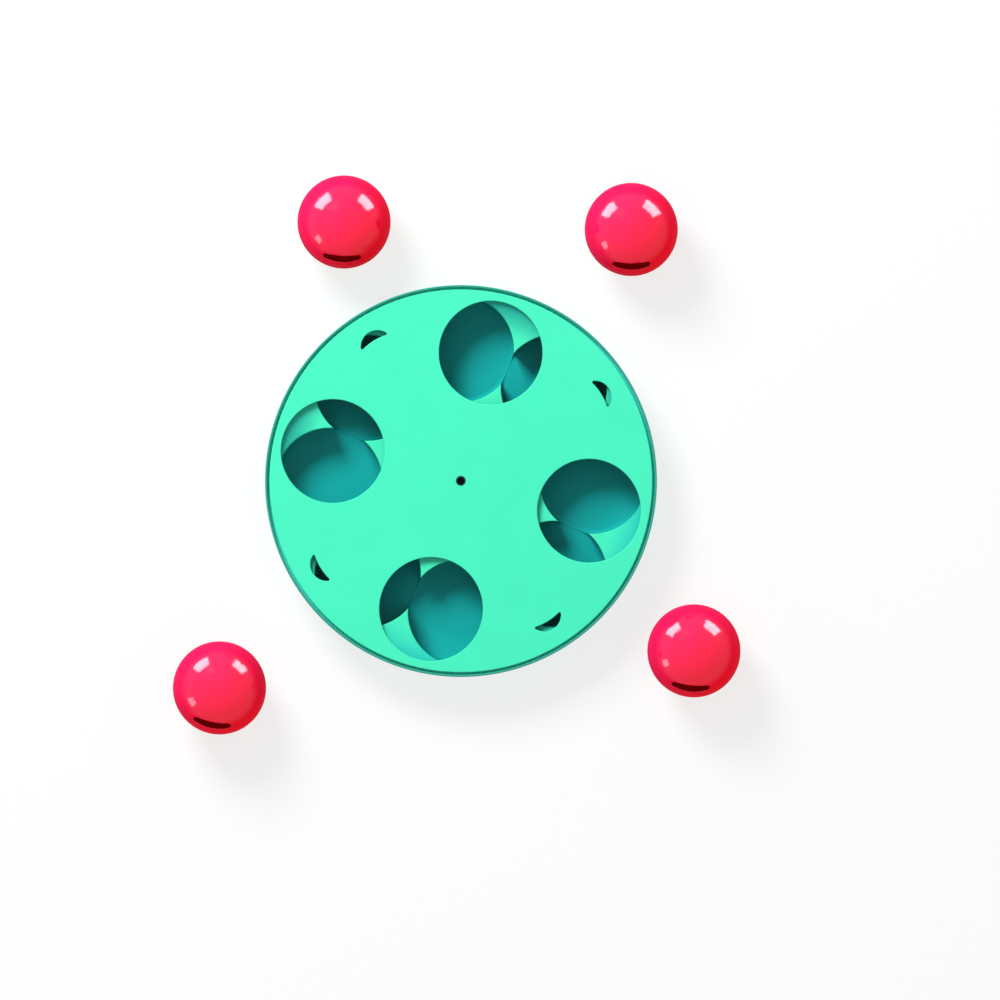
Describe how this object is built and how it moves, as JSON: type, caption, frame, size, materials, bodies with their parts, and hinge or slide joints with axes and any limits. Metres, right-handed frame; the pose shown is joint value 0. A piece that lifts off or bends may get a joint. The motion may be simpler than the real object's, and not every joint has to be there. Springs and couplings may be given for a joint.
{
  "type": "dog treat puzzle",
  "caption": "Round dog treat puzzle: a disc with holes turns over a tray of linked wells, with loose weighted treat balls that rock and dispense food.",
  "frame": {"origin": "on the disc's axis, at the lower face of the middle foot, where the tray stands on the ground", "axes": "+Z up along the disc's axis; +Y is up and +X is right in the picture's straight top view"},
  "size_m": [0.4057, 0.3998, 0.067],
  "materials": {
    "tray_mint": "satin moulded mint green plastic",
    "disc_mint": "satin moulded mint green plastic",
    "bushing_plastic": "plain moulded low-friction plastic",
    "washer_steel": "stamped zinc-plated steel",
    "screw_black": "black coated steel",
    "foot_rubber": "matt dark rubber",
    "ball_red": "polished red plastic",
    "weight_steel": "turned steel",
    "cover_plastic": "plain moulded white plastic"
  },
  "bodies": {
    "base": {"base_tray": "tray_mint", "pivot_bushing": "bushing_plastic", "pivot_washer": "washer_steel", "pivot_screw": "screw_black", "foot_center": "foot_rubber", "foot_1": "foot_rubber", "foot_2": "foot_rubber", "foot_3": "foot_rubber", "foot_4": "foot_rubber"},
    "disc": {"spinner_disc": "disc_mint"},
    "ball_1": {"ball_1_bowl": "ball_red", "ball_1_weight": "weight_steel", "ball_1_weight_cover": "cover_plastic", "ball_1_cover_screw": "screw_black"},
    "ball_1_top": {"ball_1_dome": "ball_red"},
    "ball_2": {"ball_2_bowl": "ball_red", "ball_2_weight": "weight_steel", "ball_2_weight_cover": "cover_plastic", "ball_2_cover_screw": "screw_black"},
    "ball_2_top": {"ball_2_dome": "ball_red"},
    "ball_3": {"ball_3_bowl": "ball_red", "ball_3_weight": "weight_steel", "ball_3_weight_cover": "cover_plastic", "ball_3_cover_screw": "screw_black"},
    "ball_3_top": {"ball_3_dome": "ball_red"},
    "ball_4": {"ball_4_bowl": "ball_red", "ball_4_weight": "weight_steel", "ball_4_weight_cover": "cover_plastic", "ball_4_cover_screw": "screw_black"},
    "ball_4_top": {"ball_4_dome": "ball_red"}
  },
  "joints": [
    {"name": "disc_spin", "type": "hinge", "parent": "base", "child": "disc", "pos_m": [0, 0, 0.034], "axis": [0, 0, 1], "continuous": true},
    {"name": "ball_1_wobble", "type": "hinge", "parent": "base", "child": "ball_1", "pos_m": [-0.08354, 0.18502, 0.0335], "axis": [-0.9114, -0.4115, 0], "range_deg": [-30, 30]},
    {"name": "ball_1_dome_lift", "type": "slide", "parent": "ball_1", "child": "ball_1_top", "axis": [0, 0, 1], "range_m": [0, 0.05]},
    {"name": "ball_2_wobble", "type": "hinge", "parent": "base", "child": "ball_2", "pos_m": [0.12166, 0.17969, 0.0335], "axis": [-0.8281, 0.5606, 0], "range_deg": [-30, 30]},
    {"name": "ball_2_dome_lift", "type": "slide", "parent": "ball_2", "child": "ball_2_top", "axis": [0, 0, 1], "range_m": [0, 0.05]},
    {"name": "ball_3_wobble", "type": "hinge", "parent": "base", "child": "ball_3", "pos_m": [0.16645, -0.12137, 0.0335], "axis": [0.5892, 0.808, 0], "range_deg": [-30, 30]},
    {"name": "ball_3_dome_lift", "type": "slide", "parent": "ball_3", "child": "ball_3_top", "axis": [0, 0, 1], "range_m": [0, 0.05]},
    {"name": "ball_4_wobble", "type": "hinge", "parent": "base", "child": "ball_4", "pos_m": [-0.17251, -0.14786, 0.0335], "axis": [0.6508, -0.7593, 0], "range_deg": [-30, 30]},
    {"name": "ball_4_dome_lift", "type": "slide", "parent": "ball_4", "child": "ball_4_top", "axis": [0, 0, 1], "range_m": [0, 0.05]}
  ]
}
